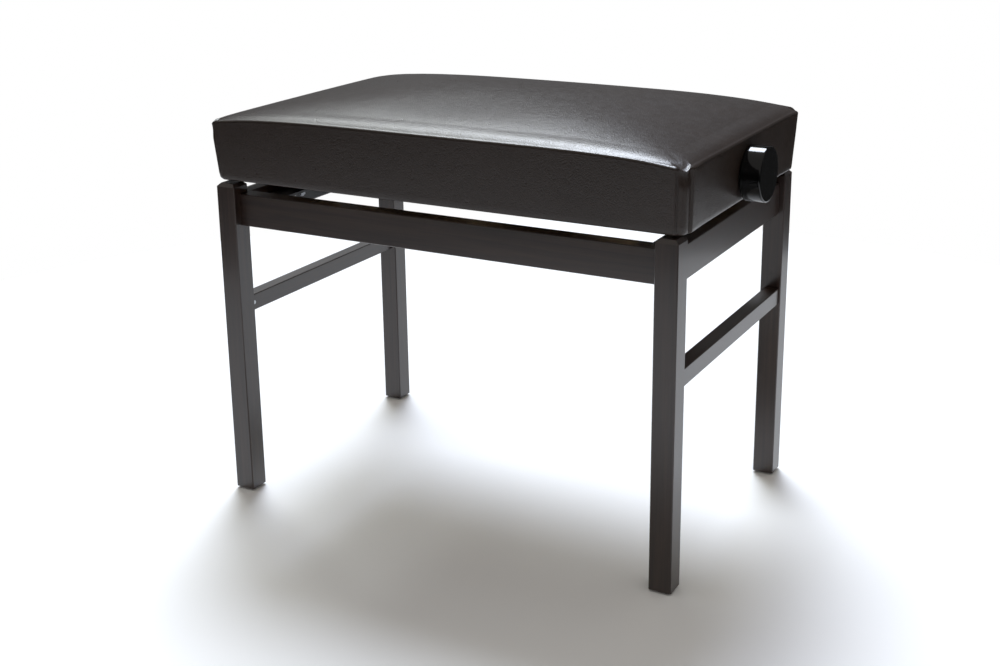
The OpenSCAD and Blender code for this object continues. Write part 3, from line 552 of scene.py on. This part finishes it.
def inflate(shell):  # blows up a remeshed copy of the cushion as cloth and returns its surface for ray casts
    c = cushion
    pick(shell)
    bpy.ops.object.duplicate()
    pad = bpy.context.object
    pad.name = "cushionSim"
    applyModifier(pad, "REMESH", mode="VOXEL", voxel_size=c["simVoxel"] * mm)
    rest = []
    held = pad.vertex_groups.new(name="held")
    for v in pad.data.vertices:
        x, y = (v.co.x - midX) / mm, v.co.y / mm
        edge = min(endHalf - abs(x), sideHalf - abs(y))
        high = v.co.z / mm - baseZ
        top = crownHeight(max(-endHalf, min(endHalf, x)), max(-sideHalf, min(sideHalf, y)))
        free = easeBetween(edge, 2, 14) if high > top - 8 else 0
        held.add([v.index], 1 - free, "REPLACE")
        v.co.z -= c["simStart"] * mm * easeBetween(edge, 6, 60) if high > top - 8 else 0
        rest.append(v.co.copy())
    pick(pad)
    cloth = pad.modifiers.new("Cloth", "CLOTH")
    cloth.settings.use_pressure = True
    cloth.settings.uniform_pressure_force = c["simPressure"]
    cloth.settings.effector_weights.gravity = 0
    cloth.settings.vertex_group_mass = "held"
    cloth.settings.quality = 6
    cloth.settings.tension_stiffness = 20
    cloth.settings.compression_stiffness = 20
    cloth.settings.bending_stiffness = 3
    scene = bpy.context.scene
    for frameNumber in range(1, c["simFrames"] + 1):
        scene.frame_set(frameNumber)
    bpy.ops.object.modifier_apply(modifier=cloth.name)
    scene.frame_set(1)
    cap = c["simCap"] * mm
    moved = 0
    for v, start in zip(pad.data.vertices, rest):
        step = v.co - start
        if step.length > cap:
            step.length = cap
        moved = max(moved, step.length)
        v.co = start + step
    print("cushion inflated, furthest move", round(moved / mm, 2), "mm over", len(rest), "points")
    surface = BVHTree.FromPolygons(
        [v.co.copy() for v in pad.data.vertices], [list(p.vertices) for p in pad.data.polygons])
    bpy.data.objects.remove(pad)
    return surface


def liftOnto(shell, surface):  # moves the top of the cover on to the inflated surface
    for v in shell.data.vertices:
        x, y = (v.co.x - midX) / mm, v.co.y / mm
        edge = min(endHalf - abs(x), sideHalf - abs(y))
        if v.co.z / mm - baseZ < cushion["endCrease"] - 12 or edge < 5:
            continue
        hit, _, _, _ = surface.ray_cast(Vector((v.co.x, v.co.y, 1)), Vector((0, 0, -1)))
        if hit:
            v.co.z += (hit.z - v.co.z) * easeBetween(edge, 5, 30)


outline = stations(endHalf, sideHalf)
acrossCount = sum(1 for s in outline if s[0] == 0)
deepCount = sum(1 for s in outline if s[0] == 1)
rows = coverRows(outline)
cover = buildShell("seat_cover_leatherette", rows, deepCount, acrossCount)
print("cover shell:", len(cover.data.polygons), "faces,", acrossCount, "by", deepCount)

closed = buildShell("closedCushion", rows[3:], deepCount, acrossCount, closeBottom=True)
surface = inflate(closed)
bpy.data.objects.remove(closed)
liftOnto(cover, surface)

applyModifier(cover, "SOLIDIFY", thickness=cushion["leather"] * mm, offset=-1)
smoothByAngle(cover, 60)
cover.data.materials.append(leatherette)
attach(cover, "seat")
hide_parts("seat_cover")

# foam core under the cover, cut flat where it lies on the board
core = {"inset": 5, "skirtDepth": 10, "topDepth": 7.5, "lift": 0.2, "fill": 0.9}  # mm under the cover


def coreRows():
    rows = []
    low = boardTop - baseZ + core["lift"]
    for share in (0, 0.5, 1):
        row = []
        for station in outline:
            long = endHalf - cushion["leanEnds"] - core["inset"]
            short = sideHalf - cushion["leanSides"] - core["inset"]
            (x, y), _ = outlinePoint(station, long, short, cushion["cornerRadius"])
            high = crownHeight(x, y) - core["skirtDepth"]
            row.append(Vector((x, y, low + (high - low) * share)))
        rows.append(row)
    for inset in (2, 6, 14):
        row = []
        for station in outline:
            long = endHalf - cushion["leanEnds"] - core["inset"] - inset
            short = sideHalf - cushion["leanSides"] - core["inset"] - inset
            (x, y), _ = outlinePoint(station, long, short, cushion["cornerRadius"])
            row.append(Vector((x, y, crownHeight(x, y) - core["topDepth"])))
        rows.append(row)
    return rows


foamCore = buildShell("foam_core", coreRows(), deepCount, acrossCount, closeBottom=True)
for v in foamCore.data.vertices:
    if v.co.z > (baseZ + 60) * mm:
        x, y = (v.co.x - midX) / mm, v.co.y / mm
        v.co.z = (baseZ + min(v.co.z / mm - baseZ, crownHeight(x, y) - core["topDepth"])) * mm
smoothByAngle(foamCore, 50)
foamCore.data.materials.append(foam)
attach(foamCore, "seat")
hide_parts("foam_pad")
print("cushion done")


knobSizes = {  # mm
    "rim": 1.6, "rimSteps": 5, "backRim": 0.6, "wall": 3, "hub": 13,
    "bore": 5.2, "cavity": 14, "boreDepth": 15.5,
}


def selectFaces(piece, test):  # leaves the piece in edit mode with the faces that pass the test selected
    pick(piece)
    bpy.ops.object.mode_set(mode="EDIT")
    bpy.ops.mesh.select_mode(type="FACE")
    bpy.ops.mesh.select_all(action="DESELECT")
    bpy.ops.object.mode_set(mode="OBJECT")
    for face in piece.data.polygons:
        face.select = test(face)
    bpy.ops.object.mode_set(mode="EDIT")


def makeKnob():
    k = knobSizes
    low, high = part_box("knob")
    radius = (high.z - low.z) / 2
    centre = (low + high) / 2
    clearSelection()
    bpy.ops.mesh.primitive_cylinder_add(
        vertices=96, radius=radius, depth=high.x - low.x, location=centre, rotation=(0, math.pi / 2, 0))
    piece = bpy.context.object
    piece.name = "knob_turned"
    applyPlace(piece)
    selectFaces(piece, lambda face: face.normal.x > 0.9)
    bpy.ops.mesh.bevel(offset=k["rim"] * mm, segments=k["rimSteps"], affect="EDGES")
    selectFaces(piece, lambda face: face.normal.x < -0.9)
    bpy.ops.mesh.bevel(offset=k["backRim"] * mm, segments=2, affect="EDGES")
    selectFaces(piece, lambda face: face.normal.x < -0.99)
    bpy.ops.mesh.inset(thickness=(k["wall"] - k["backRim"]) * mm)
    bpy.ops.mesh.inset(thickness=radius - (k["wall"] + k["hub"]) * mm)
    bpy.ops.mesh.inset(thickness=(k["hub"] - k["bore"]) * mm)
    bpy.ops.mesh.extrude_region_move(TRANSFORM_OT_translate={"value": (k["boreDepth"] * mm, 0, 0)})

    def inCavity(face):
        away = math.hypot(face.center.y - centre.y, face.center.z - centre.z)
        onBack = face.normal.x < -0.99 and face.center.x < low.x + mm
        return onBack and k["hub"] * mm < away < radius - k["wall"] * mm

    selectFaces(piece, inCavity)
    bpy.ops.mesh.extrude_region_move(TRANSFORM_OT_translate={"value": (k["cavity"] * mm, 0, 0)})
    for x in (low.x + (k["backRim"] + 0.4) * mm, high.x - (k["rim"] + 0.4) * mm):  # hold the side's shading
        bpy.ops.mesh.select_all(action="SELECT")
        bpy.ops.mesh.bisect(plane_co=(x, centre.y, centre.z), plane_no=(1, 0, 0))
    selectFaces(piece, lambda face: face.normal.x > 0.99)
    bpy.ops.mesh.inset(thickness=0.5 * mm)
    bpy.ops.mesh.select_all(action="SELECT")
    bpy.ops.mesh.normals_make_consistent(inside=False)
    smoothByAngle(piece, 30)
    piece.data.materials.append(glossKnob)
    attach(piece, "knob_and_spindle")
    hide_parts("knob")


makeKnob()
print("knob done")

spindleSizes = {  # mm
    "lead": 4, "depth": 0.75, "flank": 1.5, "turnSteps": 24,
    "threadFrom": 18, "threadTo": 82,  # from the spindle's inner end
}


def makeSpindle():
    c = spindleSizes
    low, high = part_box("spindle")
    radius = (high.z - low.z) / 2
    axisY, axisZ = (low.y + high.y) / 2, (low.z + high.z) / 2
    start, stop = low.x + c["threadFrom"] * mm, low.x + c["threadTo"] * mm
    root = radius - c["depth"] * mm
    parts = []
    for x0, x1, r in ((low.x, start, radius), (start, stop, root), (stop, high.x, radius)):
        clearSelection()
        bpy.ops.mesh.primitive_cylinder_add(
            vertices=48, radius=r, depth=x1 - x0, location=((x0 + x1) / 2, axisY, axisZ),
            rotation=(0, math.pi / 2, 0))
        part = bpy.context.object
        applyPlace(part)
        if r == radius:
            selectFaces(part, lambda face: abs(face.normal.x) > 0.9)
            bpy.ops.mesh.bevel(offset=0.5 * mm, segments=1, affect="EDGES")
            bpy.ops.object.mode_set(mode="OBJECT")
        parts.append(part)
    ridge = bmesh.new()  # one V section, wound along the rod
    corners = [ridge.verts.new(p) for p in (
        (-c["flank"] * mm, 0, root - 0.3 * mm), (-0.2 * mm, 0, radius - 0.02 * mm),
        (0.2 * mm, 0, radius - 0.02 * mm), (c["flank"] * mm, 0, root - 0.3 * mm))]
    for a, b in zip(corners, corners[1:] + corners[:1]):
        ridge.edges.new((a, b))
    thread = meshPiece("spindleThread", ridge)
    thread.location = (start + c["lead"] / 2 * mm, axisY, axisZ)
    turns = int((stop - start) / (c["lead"] * mm)) - 1
    applyModifier(
        thread, "SCREW", axis="X", angle=2 * math.pi * turns, screw_offset=c["lead"] * mm * turns,
        steps=c["turnSteps"] * turns, render_steps=c["turnSteps"] * turns)
    applyPlace(thread)
    pick(thread)
    bpy.ops.object.mode_set(mode="EDIT")
    bpy.ops.mesh.select_all(action="SELECT")
    bpy.ops.mesh.fill_holes(sides=4)
    bpy.ops.mesh.select_all(action="SELECT")
    bpy.ops.mesh.normals_make_consistent(inside=False)
    clearSelection()
    for part in parts + [thread]:
        part.select_set(True)
    bpy.context.view_layer.objects.active = thread
    bpy.ops.object.join()
    piece = bpy.context.object
    piece.name = "spindle_threaded"
    smoothByAngle(piece, 35)
    piece.data.materials.append(zincSteel)
    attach(piece, "knob_and_spindle")
    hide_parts("spindle")


makeSpindle()
print("spindle done")


# floor and light

def makeStage():  # a round sheet of card: past its edge, polished faces see the dim room
    clearSelection()
    bpy.ops.mesh.primitive_circle_add(vertices=96, radius=1.25, fill_type="NGON", location=(midX, 0, -0.0005))
    floor = bpy.context.object
    floor.name = "floor"
    material, tree, shader, place = startMaterial("pale card floor", Roughness=0.75)
    patch = addNode(tree, "ShaderNodeTexNoise", {}, {"Vector": place, "Scale": 2.0, "Detail": 3.0})
    colour = addNode(tree, "ShaderNodeMix", {"data_type": "RGBA"}, {
        0: patch.outputs["Fac"], 6: linearColour("#f3f3f2"), 7: linearColour("#f7f7f6")})
    tree.links.new(colour.outputs[2], shader.inputs["Base Color"])
    floor.data.materials.append(material)


def addSun(name, fromWhere, strength, spread, colour):  # spread in degrees: the wider, the softer
    data = bpy.data.lights.new(name, "SUN")
    data.energy, data.angle = strength, math.radians(spread)
    data.color = linearColour(colour)[:3]
    lamp = bpy.data.objects.new(name, data)
    lamp.rotation_euler = (-Vector(fromWhere)).to_track_quat("-Z", "Y").to_euler()
    bpy.context.scene.collection.objects.link(lamp)


def makeLight():
    addSun("backLeftPanel", (-0.48, 0.58, 0.85), 1.7, 30, "#f4f9f6")
    addSun("backPanel", (-0.27, 0.55, 0.88), 2.4, 24, "#e2ebff")
    addSun("topPanel", (0.2, -0.3, 0.93), 1.1, 120, "#fffaf4")
    world = bpy.data.worlds.new("studio")
    world.use_nodes = True
    tree = world.node_tree
    tree.nodes.clear()
    seen = addNode(tree, "ShaderNodeBackground", {}, {"Color": (1, 1, 1, 1), "Strength": 1.0})
    place = addNode(tree, "ShaderNodeTexCoord").outputs["Generated"]
    height = addNode(tree, "ShaderNodeSeparateXYZ", {}, {"Vector": place}).outputs["Z"]
    lowWall = addNode(tree, "ShaderNodeMapRange", {"interpolation_type": "SMOOTHSTEP"}, {
        "Value": height, "From Min": -0.03, "From Max": 0.03,
        "To Min": 0.04, "To Max": 0.13}).outputs["Result"]
    above = addNode(tree, "ShaderNodeMapRange", {"interpolation_type": "SMOOTHSTEP"}, {
        "Value": height, "From Min": 0.3, "From Max": 0.55,
        "To Min": 0.0, "To Max": 0.05}).outputs["Result"]
    glow = addNode(tree, "ShaderNodeMath", {"operation": "SUBTRACT"}, {0: lowWall, 1: above})
    around = addNode(tree, "ShaderNodeBackground", {}, {
        "Color": linearColour("#f0f1f2"), "Strength": glow.outputs[0]})
    ray = addNode(tree, "ShaderNodeLightPath")
    both = addNode(tree, "ShaderNodeMixShader", {}, {
        0: ray.outputs["Is Camera Ray"], 1: around.outputs[0], 2: seen.outputs[0]})
    addNode(tree, "ShaderNodeOutputWorld", {}, {"Surface": both.outputs[0]})
    bpy.context.scene.world = world
    bpy.context.scene.view_settings.view_transform = "Standard"


makeStage()
makeLight()
print("stage and light ready")
